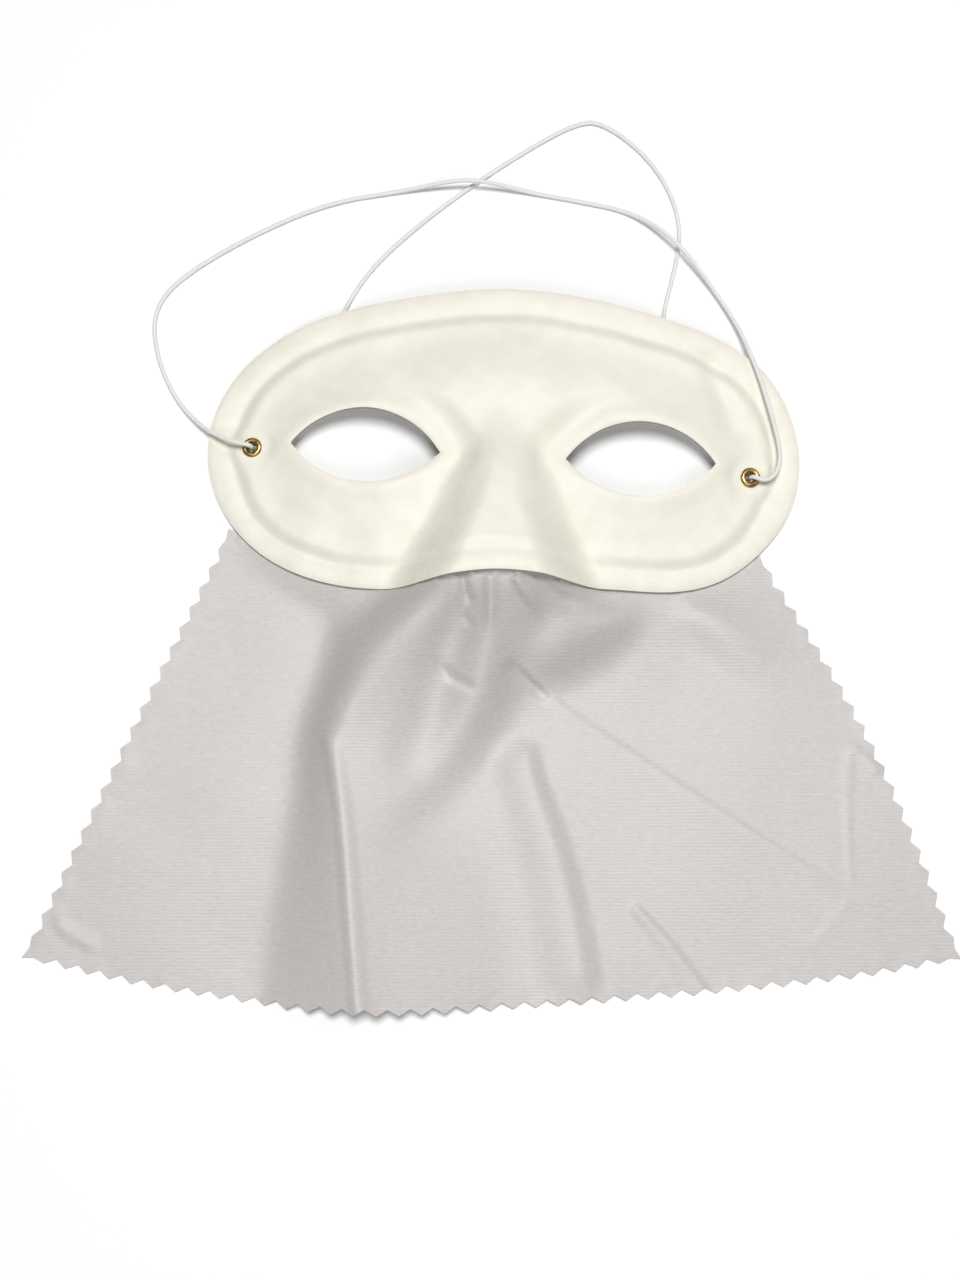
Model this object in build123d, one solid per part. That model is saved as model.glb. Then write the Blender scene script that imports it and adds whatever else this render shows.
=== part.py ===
from build123d import *
import math
import os

# A satin-covered domino half mask with a cloth veil glued behind its lower edge, lying face up.
# Millimetres. X runs to the mask's right in plan, +Y to the forehead, +Z up through the face.
# The origin is on the mask's midline, level with the eye corners, on the plane that it lies on.

# Mask outline, seen in plan
HALF_WIDTH = 95.0          # midline to the temple tip
TOP_Y = 55.0               # top edge on the midline
NOSE_EDGE_Y = -40.2        # edge of the nose cut-out on the midline
CHEEK_EDGE_Y = -44.6       # lowest point of the cheeks

# The pressing came out a little uneven: a fuller right temple and a shorter right cheek
RIGHT_EDGE = [
    (35, 51.8), (62, 45.4), (79.5, 36.6), (90.6, 22.2), (HALF_WIDTH, 5), (93, -10),
    (83.5, -25.4), (70, -36.2), (56, -40.4), (40, -41), (20, -41),
]
LEFT_EDGE = [
    (-20, -43.2), (-40, CHEEK_EDGE_Y), (-60, -41.6), (-79, -31.6), (-90.5, -17), (-94.7, -1),
    (-91.3, 16), (-80.5, 31), (-62, 42.9), (-35, 50.4),
]

# Mask relief: height of the satin face above the table
TEMPLE_HEIGHT = 1.9        # at the temple tips, which all but touch the table
RIM_RISE = 8.5             # how much higher the rim's middle arches
CHEEK_DROP = 2.0           # the lower rim curves back towards the table
RIM_BAND = 8.5             # flat pressed band inside the edge
DOME_RISE = 5.0            # the padded field inside the band
DOME_RUN = 20.0            # width over which the field rises
NOSE_ROOT_Y = 14.0         # where the nose ridge starts between the eyes
NOSE_RISE = 18.0           # ridge above the rim at the lower edge
NOSE_CREST_HALF_WIDTH = 12.0   # rounded crest at the lower edge
NOSE_ROOT_HALF_WIDTH = 6.0     # foot of the flanks at the root
NOSE_FOOT_SPREAD = 28.0        # how much further out that foot is at the lower edge
SOCKET_DEPTH = 2.6         # hollow round the inner end of each eye hole
SOCKET_SHELF = 5.5         # the hollow's level floor round the hole
SOCKET_WALL = 9.0
BROW_SWELL = 1.6           # swelling of the brow above the nose

# Pressed laminate: satin, stiff core and lining, with glue film gaps between them
SATIN = 0.4
CORE = 0.9
LINING = 0.4
FILM = 0.05
LAMINATE = SATIN + CORE + LINING + 2 * FILM

# Eye holes: two arcs meeting in a point at each corner
EYE_INNER = (19.8, -1.0)
EYE_OUTER = (67.5, 1.0)
EYE_TOP = (43.5, 12.5)
EYE_BOTTOM = (43.5, -11.5)

# Brass eyelets, left and right
EYELETS = {-1: (-80.1, -0.4), 1: (79.0, -2.0)}
EYELET_BORE_RADIUS = 1.5
BARREL_RADIUS = 1.9
FLANGE_RADIUS = 3.25
CREST_RADIUS = 2.35
FLANGE_HEIGHT = 0.9
ROLL_RADIUS = 2.9          # the barrel rolled over on the lining side
ROLL_HEIGHT = 0.45
EYELET_SEAT = 5.0          # the laminate is pressed flat this far round each eyelet
EYELET_SEAT_BLEND = 5.0
EYELET_SEAT_RISE = 1.4     # height of that flat above the rim
CLEARANCE = 0.05
FLANGE_GAP = 0.12          # between each flange and the cloth that it clamps

# Veil: one knitted cloth, glued in behind the lower edge and pinked on its three free edges
CLOTH = 0.45
GLUE_SPACE = 0.4           # between the lining and the cloth
GLUE = 0.15
GLUE_INSET = 7.0           # how far the cloth reaches up behind the mask
GLUE_OUTSET = 2.2          # bare cloth between the mask's edge and the glue
GLUE_WIDTH = 3.6
GLUED_X = (-62, -42, -21, 0, 21, 42, 62)
VEIL_LEFT = [(-86.3, -26.5), (-113.6, -95.5), (-139.4, -164.2)]
VEIL_HEM = [
    (-139.4, -164.2), (-106, -170.4), (-70, -174.2), (-35, -176.4), (0, -173.2), (43, -168),
    (89, -161.7), (128.5, -154.6), (148.5, -149.6),
]
VEIL_RIGHT = [(148.5, -149.6), (118.8, -81.6), (83.3, -26.4)]
TOOTH_PITCH = 7.0
TOOTH_DEPTH = 2.1
CORNER_DEPTH = 0.95        # the last notch before each corner
HINGE_Y = -85.0            # the line where the hanging part of the cloth bends
HINGE_FIXED_GAP = 0.5
HINGE_SWING_GAP = 0.25
TABLE_GAP = 0.05           # the fixed part's underside, just off the table

# Elastic: one thin round cord through both eyelets, its ends tied behind the left temple
ELASTIC_DIAMETER = 1.4
KNOT_LENGTH = 5.6
KNOT_DIAMETER = 3.4
KNOT_CENTRE = (-71.9, 12.0, 1.75)
TABLE_Z = 0.75             # centreline of the cord where it lies on the table
HUMP_Z = 4.9               # centreline where it passes over its other strand

GRID_STEP = 3.0
SURFACE_TOLERANCE = 0.08


def smooth_step(t):
    t = min(max(t, 0.0), 1.0)
    return t * t * (3 - 2 * t)


def mask_outline():
    """Closed plan outline, as a wire."""
    points = [(0, TOP_Y)] + RIGHT_EDGE + [(0, NOSE_EDGE_Y)] + LEFT_EDGE
    return Wire([Spline(points, periodic=True)])


OUTLINE = mask_outline()
OUTLINE_POINTS = [OUTLINE.position_at(i / 240) for i in range(240)]


def edge_distance(x, y):
    """Plan distance to the mask's edge, positive inside and negative outside."""
    nearest = min(math.hypot(x - p.X, y - p.Y) for p in OUTLINE_POINTS)
    crossings = 0
    for a, b in zip(OUTLINE_POINTS, OUTLINE_POINTS[1:] + OUTLINE_POINTS[:1]):
        if (a.Y > y) != (b.Y > y) and x < a.X + (y - a.Y) * (b.X - a.X) / (b.Y - a.Y):
            crossings += 1
    return nearest if crossings % 2 else -nearest


def rim_height(x, y):
    """The rim's arch over the face, its sides nearly level along both temples."""
    middle = max(1 - (x / HALF_WIDTH) ** 2, 0.0)
    drop = CHEEK_DROP * middle * (min(y, 0) / CHEEK_EDGE_Y) ** 2
    return TEMPLE_HEIGHT + RIM_RISE * middle ** 1.5 - drop


def nose_height(x, y):
    """A rounded ridge between two flanks, widening and rising to the lower edge."""
    along = min(max((NOSE_ROOT_Y - y) / (NOSE_ROOT_Y - NOSE_EDGE_Y), 0.0), 1.15)
    crest = NOSE_CREST_HALF_WIDTH * along ** 2
    foot = NOSE_ROOT_HALF_WIDTH + NOSE_FOOT_SPREAD * along
    across = smooth_step((foot - abs(x)) / (foot - crest)) * (1 - 0.15 * min(abs(x) / foot, 1) ** 2)
    return NOSE_RISE * smooth_step(along / 1.15) ** 0.8 * across


def eye_arcs(side):
    """An eye hole's upper and lower arc, in plan."""
    inner, outer, top, bottom = [
        (side * x, y) for x, y in (EYE_INNER, EYE_OUTER, EYE_TOP, EYE_BOTTOM)
    ]
    return [ThreePointArc(inner, top, outer), ThreePointArc(outer, bottom, inner)]


EYE_POINTS = [arc.position_at(i / 30) for arc in eye_arcs(1) for i in range(31)]


def socket_depth(x, y):
    """The hollow round each eye hole, deepest towards the brow's inner end."""
    distance = min(math.hypot(abs(x) - p.X, y - p.Y) for p in EYE_POINTS)
    shelf = 1 - smooth_step((distance - SOCKET_SHELF) / SOCKET_WALL)
    inward = smooth_step((46 - abs(x)) / 30)
    upward = smooth_step((y + 16) / 18)
    return SOCKET_DEPTH * shelf * inward * (0.25 + 0.75 * upward)


def brow_height(x, y):
    return BROW_SWELL * math.exp(-((x / 17) ** 2) - ((y - 27) / 13) ** 2)


def relief(x, y):
    dome = DOME_RISE * smooth_step((edge_distance(x, y) - RIM_BAND) / DOME_RUN)
    raised = rim_height(x, y) + dome + nose_height(x, y) + brow_height(x, y)
    return raised - socket_depth(x, y)


def slope(height, x, y):
    step = 0.5
    return (
        (height(x + step, y) - height(x - step, y)) / (2 * step),
        (height(x, y + step) - height(x, y - step)) / (2 * step),
    )


def seat_height(side, x, y):
    """The flat that an eyelet clamps, in line with the rim's slope there."""
    at = EYELETS[side]
    tilt = slope(rim_height, *at)
    return rim_height(*at) + EYELET_SEAT_RISE + tilt[0] * (x - at[0]) + tilt[1] * (y - at[1])


def face_height(x, y):
    """The satin face: the relief, pressed flat round each eyelet."""
    side = 1 if x > 0 else -1
    away = math.hypot(x - EYELETS[side][0], y - EYELETS[side][1])
    pressed = 1 - smooth_step((away - EYELET_SEAT) / EYELET_SEAT_BLEND)
    if pressed == 0:
        return relief(x, y)
    return relief(x, y) * (1 - pressed) + seat_height(side, x, y) * pressed


def height_face(height, x_from, x_to, y_from, y_to):
    """One smooth face through a height function's values on a grid."""
    columns = round((x_to - x_from) / GRID_STEP)
    rows = round((y_to - y_from) / GRID_STEP)
    grid = []
    for i in range(columns + 1):
        x = x_from + (x_to - x_from) * i / columns
        ys = [y_from + (y_to - y_from) * j / rows for j in range(rows + 1)]
        grid.append([Vector(x, y, height(x, y)) for y in ys])
    return Face.make_surface_from_array_of_points(grid, tol=SURFACE_TOLERANCE)


def eyelet_plane(side):
    """Plane of the satin under an eyelet's flange, its Z along the eyelet's axis."""
    at = EYELETS[side]
    tilt = slope(rim_height, *at)
    return Plane(origin=(*at, seat_height(side, *at)), z_dir=Vector(-tilt[0], -tilt[1], 1))


def prism(wire):
    """A tall upright prism of a plan outline, from below the table to above the nose."""
    return extrude(Pos(0, 0, -5) * Face(wire), 60, dir=(0, 0, 1))


def mask_cutter():
    """A prism of the plan outline, open at the eyes and the eyelets."""
    body = prism(OUTLINE)
    for side in (-1, 1):
        body -= prism(Wire(eye_arcs(side)))
        body -= eyelet_plane(side) * Cylinder(BARREL_RADIUS + CLEARANCE, 12)
    return body


def layer(face, cutter, top_depth, thickness):
    """One layer of the laminate, its top a given depth below the satin face."""
    slab = Solid.extrude(Pos(0, 0, -top_depth) * face, Vector(0, 0, -thickness))
    return largest(slab & cutter)


def largest(shape):
    return max(shape.solids(), key=lambda solid: solid.volume)


def eyelet(side):
    """Flange with a rounded crest, straight bore, and the barrel rolled over behind."""
    back = -LAMINATE - FLANGE_GAP
    rear = back - ROLL_HEIGHT
    edges = [
        Line((EYELET_BORE_RADIUS, rear + 0.2), (EYELET_BORE_RADIUS, 0.1)),
        ThreePointArc(
            (EYELET_BORE_RADIUS, 0.1),
            (EYELET_BORE_RADIUS + 0.25, 0.68),
            (CREST_RADIUS, FLANGE_HEIGHT),
        ),
        ThreePointArc((CREST_RADIUS, FLANGE_HEIGHT), (3.0, 0.65), (FLANGE_RADIUS, FLANGE_GAP)),
        Line((FLANGE_RADIUS, FLANGE_GAP), (BARREL_RADIUS, FLANGE_GAP)),
        Line((BARREL_RADIUS, FLANGE_GAP), (BARREL_RADIUS, back)),
        Line((BARREL_RADIUS, back), (ROLL_RADIUS, back)),
        ThreePointArc((ROLL_RADIUS, back), (2.4, rear + 0.02), (EYELET_BORE_RADIUS, rear + 0.2)),
    ]
    profile = Face(Wire(edges).rotate(Axis.X, 90))
    return eyelet_plane(side) * largest(revolve(profile, Axis.Z))


def lower_edge(x):
    """Y of the mask's lower edge at a given x, carried on flat past the temples."""
    x = min(max(x, -88.0), 88.0)
    below = [p for p in OUTLINE_POINTS if p.Y < -10]
    nearest = sorted(below, key=lambda p: abs(p.X - x))[:2]
    a, b = nearest
    if abs(a.X - b.X) < 0.01:
        return a.Y
    return a.Y + (b.Y - a.Y) * (x - a.X) / (b.X - a.X)


def cloth_height(x, y):
    """Underside of the veil's upper part: up behind the mask, then down to the table."""
    edge_y = lower_edge(x)
    backing = LAMINATE + GLUE_SPACE + CLOTH
    top = face_height(x, max(y, edge_y)) - backing
    fall = 1 - smooth_step((edge_y - y) / (edge_y - HINGE_Y - 4))
    return max(top * fall, TABLE_GAP)


def pinked(edge):
    """Zigzag points along an edge: teeth point out to its right, and both ends are tooth tips."""
    teeth = round(edge.length / TOOTH_PITCH)
    points = []
    for i in range(2 * teeth + 1):
        at = edge.position_at(i / (2 * teeth))
        depth = CORNER_DEPTH if i in (1, 2 * teeth - 1) else TOOTH_DEPTH
        inward = edge.tangent_at(i / (2 * teeth)).rotate(Axis.Z, 90)
        points.append(at + inward * (depth if i % 2 else 0))
    return points


def side_point(side, y):
    """The point of one of the veil's curved sides at a given y."""
    edge = ThreePointArc(*side)
    low, high = (0.0, 1.0) if side[0][1] < side[-1][1] else (1.0, 0.0)
    for _ in range(40):
        middle = (low + high) / 2
        if edge.position_at(middle).Y < y:
            low = middle
        else:
            high = middle
    return edge.position_at((low + high) / 2)


def side_run(side, y_from, y_to):
    """The stretch of one of the veil's sides between two heights."""
    return ThreePointArc(
        side_point(side, y_from), side_point(side, (y_from + y_to) / 2), side_point(side, y_to)
    )


def veil_panel():
    """The free part of the veil, flat on the table, pinked on three sides."""
    top_y = HINGE_Y - HINGE_SWING_GAP
    left = pinked(side_run(VEIL_LEFT, top_y, VEIL_LEFT[-1][1]))
    bottom = pinked(Spline(VEIL_HEM))
    right = pinked(side_run(VEIL_RIGHT, VEIL_RIGHT[0][1], top_y))
    return extrude(Face(Wire.make_polygon(left + bottom[1:] + right[1:])), CLOTH)


def upper_cloth_outline():
    """From one side of the veil over the glued top edge to the other side."""
    bottom_y = HINGE_Y + HINGE_FIXED_GAP
    top = Spline([VEIL_LEFT[0]] + [(x, lower_edge(x) + GLUE_INSET) for x in GLUED_X] + [VEIL_RIGHT[-1]])
    right = pinked(side_run(VEIL_RIGHT, bottom_y, VEIL_RIGHT[-1][1]))
    left = pinked(side_run(VEIL_LEFT, VEIL_LEFT[0][1], bottom_y))
    sides = Wire.make_polygon(right, close=False).edges() + Wire.make_polygon(left, close=False).edges()
    return Wire([top, Line(right[0], left[-1])] + sides)


def veil_top():
    """The fixed part of the veil, from the glue line down to the table."""
    surface = height_face(cloth_height, -126, 126, -87, -21)
    slab = Solid.extrude(surface, Vector(0, 0, CLOTH))
    return largest(slab & prism(upper_cloth_outline()))


def glue_line(face):
    """Bead of glue between the lining and the cloth, along the lower edge."""
    depth = LAMINATE + CLEARANCE
    slab = Solid.extrude(Pos(0, 0, -depth) * face, Vector(0, 0, -GLUE))
    outer = [(x, lower_edge(x) + GLUE_OUTSET) for x in (-78,) + GLUED_X + (76,)]
    inner = [(x, y + GLUE_WIDTH) for x, y in reversed(outer)]
    strip = Wire([
        Spline(outer), Line(outer[-1], inner[0]), Spline(inner), Line(inner[-1], outer[0])
    ])
    return largest(slab & prism(strip))


def knot_axis():
    """Level, from the knot towards the left eyelet."""
    eyelet_x, eyelet_y = EYELETS[-1]
    return Vector(eyelet_x - KNOT_CENTRE[0], eyelet_y - KNOT_CENTRE[1], 0).normalized()


def elastic_points():
    """The cord's route, from one face of the knot right round to the other."""
    axis = knot_axis()
    centre = Vector(*KNOT_CENTRE)
    return [
        centre + axis * (KNOT_LENGTH / 2),
        centre + axis * 8.5,
        Vector(*EYELETS[-1], 0.9),              # up through the left eyelet
        Vector(*EYELETS[-1], 7.6),
        Vector(-84.8, 0.2, 7.6),
        Vector(-91, 2.4, 6.0),
        Vector(-98.6, 7.2, 2.6),
        Vector(-106.6, 15.6, 0.95),
        Vector(-113.6, 29, TABLE_Z),
        Vector(-116.3, 44, TABLE_Z),            # loop out beside the left temple
        Vector(-109.3, 55.8, TABLE_Z),
        Vector(-88, 71.2, TABLE_Z),
        Vector(-62, 85, TABLE_Z),
        Vector(-36, 90.6, TABLE_Z),
        Vector(-20.5, 93.4, HUMP_Z),            # over the rear strand
        Vector(-10.5, 93.6, HUMP_Z),
        Vector(4, 92, TABLE_Z),
        Vector(22, 89.6, TABLE_Z),
        Vector(37.5, 87, TABLE_Z),
        Vector(49.5, 78.8, HUMP_Z),             # over the rear strand again
        Vector(57.5, 70.6, HUMP_Z),
        Vector(66, 60.6, 2.2),
        Vector(74, 48.4, 3.4),
        Vector(80.2, 33, 6.6),                  # over the edge of the mask
        Vector(85.4, 17.4, 6.2),
        Vector(88.4, 6.6, 5.6),
        Vector(87.4, -0.4, 5.8),
        Vector(83.6, -3.6, 7.2),
        Vector(*EYELETS[1], 7.6),               # down through the right eyelet
        Vector(*EYELETS[1], 0.9),
        Vector(71.8, 4, 0.8),
        Vector(60, 17, TABLE_Z),
        Vector(51.5, 33.4, TABLE_Z),
        Vector(49, 50, TABLE_Z),
        Vector(53, 68, TABLE_Z),
        Vector(54.6, 81.4, TABLE_Z),
        Vector(50.6, 95, TABLE_Z),
        Vector(41.4, 107.8, TABLE_Z),
        Vector(27.2, 117.9, TABLE_Z),
        Vector(18.6, 117.2, TABLE_Z),
        Vector(2, 106.4, TABLE_Z),
        Vector(-22, 87.8, TABLE_Z),
        Vector(-43, 67.4, TABLE_Z),
        Vector(-52.6, 52.4, TABLE_Z),
        Vector(-58.4, 35.4, 0.9),
        centre - axis * 11,
        centre - axis * (KNOT_LENGTH / 2),
    ]


def bend_radii(points):
    """Each bend as wide as its two runs allow."""
    radii = []
    for a, b, c in zip(points, points[1:], points[2:]):
        run_in = b - a
        run_out = c - b
        half_turn = math.radians(run_in.get_angle(run_out)) / 2
        radii.append(0.45 * min(run_in.length, run_out.length) / math.tan(half_turn))
    return radii


def elastic_cord():
    points = elastic_points()
    radii = bend_radii(points)
    print("elastic bend radii", [round(radius, 1) for radius in radii])
    path = FilletPolyline(*points, radius=radii)
    section = Plane(origin=path @ 0, z_dir=path % 0) * Circle(ELASTIC_DIAMETER / 2)
    cord = sweep(section, path=path)
    area = math.pi * ELASTIC_DIAMETER ** 2 / 4
    print("elastic length", round(path.length, 1), "fill", round(cord.volume / area / path.length, 4))
    return largest(cord)


def elastic_knot():
    """The tied ends: a rounded barrel between the two faces that the cord meets."""
    barrel = Cylinder(KNOT_DIAMETER / 2, KNOT_LENGTH)
    barrel = fillet(barrel.edges().filter_by(GeomType.CIRCLE), 1.0)
    return largest(Plane(origin=KNOT_CENTRE, z_dir=knot_axis()) * barrel)


def build():
    face = height_face(face_height, -99, 99, -48, 60)
    cutter = mask_cutter()
    parts = {
        "outer_cover": layer(face, cutter, 0, SATIN),
        "stiffener_shell": layer(face, cutter, SATIN + FILM, CORE),
        "rear_lining": layer(face, cutter, SATIN + CORE + 2 * FILM, LINING),
        "eyelet_left": eyelet(-1),
        "eyelet_right": eyelet(1),
        "glue_line": glue_line(face),
        "veil_top": veil_top(),
        "veil_panel": largest(veil_panel()),
        "elastic_cord": elastic_cord(),
        "elastic_knot": elastic_knot(),
    }
    os.makedirs("parts", exist_ok=True)
    for name, solid in parts.items():
        export_step(solid, f"parts/{name}.step")


build()
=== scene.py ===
"""Looks of a satin half mask lying face up, with a pinked cloth veil and a thin elastic loop.

Lengths in this file are millimetres and become metres when a mesh is made.
X runs across the mask, +Y to the forehead and +Z up through the face.
"""
import bpy
import math
import numpy as np
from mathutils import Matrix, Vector
from mathutils.geometry import delaunay_2d_cdt


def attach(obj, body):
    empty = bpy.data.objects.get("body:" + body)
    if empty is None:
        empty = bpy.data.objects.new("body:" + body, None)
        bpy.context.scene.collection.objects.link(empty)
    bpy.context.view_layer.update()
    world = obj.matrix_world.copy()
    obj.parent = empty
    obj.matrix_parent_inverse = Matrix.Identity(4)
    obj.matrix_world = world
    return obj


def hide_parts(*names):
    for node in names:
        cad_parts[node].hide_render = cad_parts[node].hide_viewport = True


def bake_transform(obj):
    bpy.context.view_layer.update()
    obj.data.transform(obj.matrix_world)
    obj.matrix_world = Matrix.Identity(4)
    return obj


MM = 0.001

# Mask outline and relief
HALF_WIDTH = 95.0
TOP_Y = 55.0
NOSE_EDGE_Y = -40.2
CHEEK_EDGE_Y = -44.6
RIGHT_EDGE = [
    (35, 51.8), (62, 45.4), (79.5, 36.6), (90.6, 22.2), (HALF_WIDTH, 5), (93, -10),
    (83.5, -25.4), (70, -36.2), (56, -40.4), (40, -41), (20, -41),
]
LEFT_EDGE = [
    (-20, -43.2), (-40, CHEEK_EDGE_Y), (-60, -41.6), (-79, -31.6), (-90.5, -17), (-94.7, -1),
    (-91.3, 16), (-80.5, 31), (-62, 42.9), (-35, 50.4),
]
TEMPLE_HEIGHT = 1.9
RIM_RISE = 8.5
CHEEK_DROP = 2.0
LAMINATE = 1.8
SATIN = 0.4
LINING = 0.4
RIM_BAND = 8.3             # flat band inside the edge
LOWER_BAND = 6.4           # and along the cheeks
STEP_RISE = 1.3            # short step up from the band to the padded field
STEP_RUN = 4.2
DOME_RISE = 3.7
DOME_RUN = 26.0
NOSE_ROOT_Y = 14.0
NOSE_RISE = 18.0
NOSE_CREST_HALF_WIDTH = 12.0
NOSE_ROOT_HALF_WIDTH = 6.0
NOSE_FOOT_SPREAD = 28.0
SOCKET_DEPTH = 2.6
SOCKET_SHELF = 5.5
SOCKET_WALL = 9.0
BROW_SWELL = 1.6

# Fine relief of the satin face
GROOVE_DEPTH = 0.4         # pressed line between the band and the padded field
GROOVE_HALF_WIDTH = 1.8
CREST_RISE = 0.3           # soft crest beside it
CREST_INSET = 4.6
CREST_HALF_WIDTH = 2.8
BAND_SWELL = 0.25
EYE_SWELL = 0.4
DENTS = [                  # line, depth and half width
    ([(63, 41), (69, 23), (75, 6)], 1.15, 3.4),      # down past the right eye
    ([(-84.5, -1), (-93, -1.4)], 0.22, 0.9),         # tug beside the left eyelet
    ([(80.8, -6), (83.2, -12.5)], 0.3, 1.0),         # and below the right one
]
NICK = [(-21.5, -17.5), (-18.5, -18.4), (-16, -17)]  # small crease beside the nose
NICK_DEPTH = 0.25
NICK_HALF_WIDTH = 0.5
MASK_RIPPLES = [(23.0, 0.14, 1), (9.0, 0.05, 2)]     # wavelength, height and seed
RIM_ROUNDING = (0.32, 0.55)                          # depth and half width, at the outer edge
EYE_ROUNDING = (0.28, 0.5)                           # and at the eye holes

# Eye holes and eyelets
EYE_INNER = (19.8, -1.0)
EYE_OUTER = (67.5, 1.0)
EYE_TOP = (43.5, 12.5)
EYE_BOTTOM = (43.5, -11.5)
EYELETS = {-1: (-80.1, -0.4), 1: (79.0, -2.0)}
EYELET_SEAT_RISE = 1.4
SEAT_RADIUS = 4.2          # pressed flat this far from the eyelet
SEAT_BLEND = 4.5           # and back to the broad form over this
BARREL_RADIUS = 1.9

# Veil
CLOTH = 0.45
GLUE_INSET = 7.0
GLUE_SPACE = 0.4
GLUED_X = (62, 42, 21, 0, -21, -42, -62)
VEIL_LEFT = [(-86.3, -26.5), (-113.6, -95.5), (-139.4, -164.2)]
VEIL_HEM = [
    (-139.4, -164.2), (-106, -170.4), (-70, -174.2), (-35, -176.4), (0, -173.2), (43, -168),
    (89, -161.7), (128.5, -154.6), (148.5, -149.6),
]
VEIL_RIGHT = [(148.5, -149.6), (118.8, -81.6), (83.3, -26.4)]
TOOTH_PITCH = 7.0
TOOTH_DEPTH = 2.1
CORNER_DEPTH = 0.95

# The grid that the veil's folds are worked out on
FOLD_STEP = 1.5
FOLD_X_FROM = -150.0
FOLD_Y_FROM = -186.0
FOLD_ROWS = 126
FOLD_COLUMNS = 204
SKIN_PASSES = 2500
SMOOTH_SHARE = 0.6
SMOOTH_PASSES = 14         # everywhere
FAN_PASSES = 22            # and on the fan of folds below the nose
FAN_CENTRE = (-14, -92)
FAN_RADIUS = 34.0

# Elastic
ELASTIC_DIAMETER = 1.4
TABLE_Z = 0.75             # its middle where it lies on the table
HUMP_Z = 4.9               # control points where it crosses over itself

# Camera: almost straight down, a little from below the chin
CAMERA_AZIMUTH = 3.0
CAMERA_ELEVATION = 80.0
CAMERA_DISTANCE = 600.0
CAMERA_TARGET = (-4.22, -58.03, 0.0)
CAMERA_LENS = 53.4

# Spacing of mesh points, along edges and across the faces
MASK_EDGE_SPACING = 0.8
EYE_EDGE_SPACING = 0.7
EYELET_HOLE_POINTS = 28
MASK_SPACING = 0.95
VEIL_EDGE_SPACING = 1.2
VEIL_SPACING = 1.15

# Floor, in metres
FLOOR_HALF_WIDTH = 3.0
FLOOR_GAP = 0.00005        # below the lowest piece


# ---------------------------------------------------------------- curves and distances

def smooth_curve(points, spacing, closed=False):
    """Points along a smooth cubic curve through the given points."""
    p = np.array(points, float)
    count = len(p)
    pairs = [(i, (i + 1) % count) for i in range(count if closed else count - 1)]
    matrix = np.zeros((count, count))
    rises = np.zeros_like(p)
    runs = []
    for i, j in pairs:
        run = np.linalg.norm(p[j] - p[i])
        runs.append(run)
        for k, other in ((i, j), (j, i)):
            matrix[k, k] += 2 / run
            matrix[k, other] += 1 / run
            rises[k] += 3 * (p[j] - p[i]) / run ** 2
    tangents = np.linalg.solve(matrix, rises)
    curve = []
    for (i, j), run in zip(pairs, runs):
        steps = max(2, math.ceil(run / spacing))
        for t in np.arange(steps) / steps:
            curve.append(
                (1 + 2 * t) * (1 - t) ** 2 * p[i] + t * (1 - t) ** 2 * run * tangents[i]
                + t * t * (3 - 2 * t) * p[j] + t * t * (t - 1) * run * tangents[j]
            )
    if not closed:
        curve.append(p[-1])
    return np.array(curve)


def arc(start, through, end, spacing):
    """Points along the circular arc through three points, its end left out."""
    a, b, c = (np.array(q, float) for q in (start, through, end))
    matrix = 2 * np.array([b - a, c - a])
    centre = np.linalg.solve(matrix, [b @ b - a @ a, c @ c - a @ a])
    angles = [math.atan2(*(q - centre)[::-1]) for q in (a, b, c)]
    turn = (angles[2] - angles[0]) % (2 * math.pi)
    if (angles[1] - angles[0]) % (2 * math.pi) > turn:
        turn -= 2 * math.pi
    radius = np.linalg.norm(a - centre)
    steps = math.ceil(abs(turn) * radius / spacing)
    at = angles[0] + turn * np.arange(steps) / steps
    return centre + radius * np.column_stack([np.cos(at), np.sin(at)])


def circle(centre, radius, count):
    at = 2 * math.pi * np.arange(count) / count
    return np.array(centre) + radius * np.column_stack([np.cos(at), np.sin(at)])


def nearest_on(points, line, closed=False):
    """Distance, signed side and share of length of each point's nearest place on a line."""
    a = np.asarray(line, float)
    b = np.roll(a, -1, 0) if closed else a[1:]
    a = a if closed else a[:-1]
    along = b - a
    lengths = np.linalg.norm(along, axis=1)
    starts = np.concatenate([[0], np.cumsum(lengths)])
    best = np.full(len(points), 1e9)
    side = np.zeros(len(points))
    share = np.zeros(len(points))
    for k in range(len(a)):
        rel = points - a[k]
        t = np.clip(rel @ along[k] / lengths[k] ** 2, 0, 1)
        away = rel - t[:, None] * along[k]
        distance = np.hypot(away[:, 0], away[:, 1])
        closer = distance < best
        best[closer] = distance[closer]
        side[closer] = np.sign(along[k][0] * rel[:, 1] - along[k][1] * rel[:, 0])[closer]
        share[closer] = ((starts[k] + t * lengths[k]) / starts[-1])[closer]
    return best, side, share


def inside(points, loop):
    """True for each point within a closed loop."""
    odd = np.zeros(len(points), bool)
    x, y = points[:, 0], points[:, 1]
    for (ax, ay), (bx, by) in zip(loop, np.roll(loop, -1, 0)):
        if ay == by:
            continue
        crosses = ((ay > y) != (by > y)) & (x < ax + (y - ay) * (bx - ax) / (by - ay))
        odd ^= crosses
    return odd


def signed_area(loop):
    """Positive for a loop that runs anticlockwise."""
    after = np.roll(loop, -1, 0)
    return np.sum(loop[:, 0] * after[:, 1] - after[:, 0] * loop[:, 1]) / 2


def smooth_step(t):
    t = np.clip(t, 0, 1)
    return t * t * (3 - 2 * t)


def bell(t):
    return np.exp(-t * t)


# ---------------------------------------------------------------- mask form

def mask_outline(spacing):
    points = [(0, TOP_Y)] + RIGHT_EDGE + [(0, NOSE_EDGE_Y)] + LEFT_EDGE
    return smooth_curve(points, spacing, closed=True)


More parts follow.
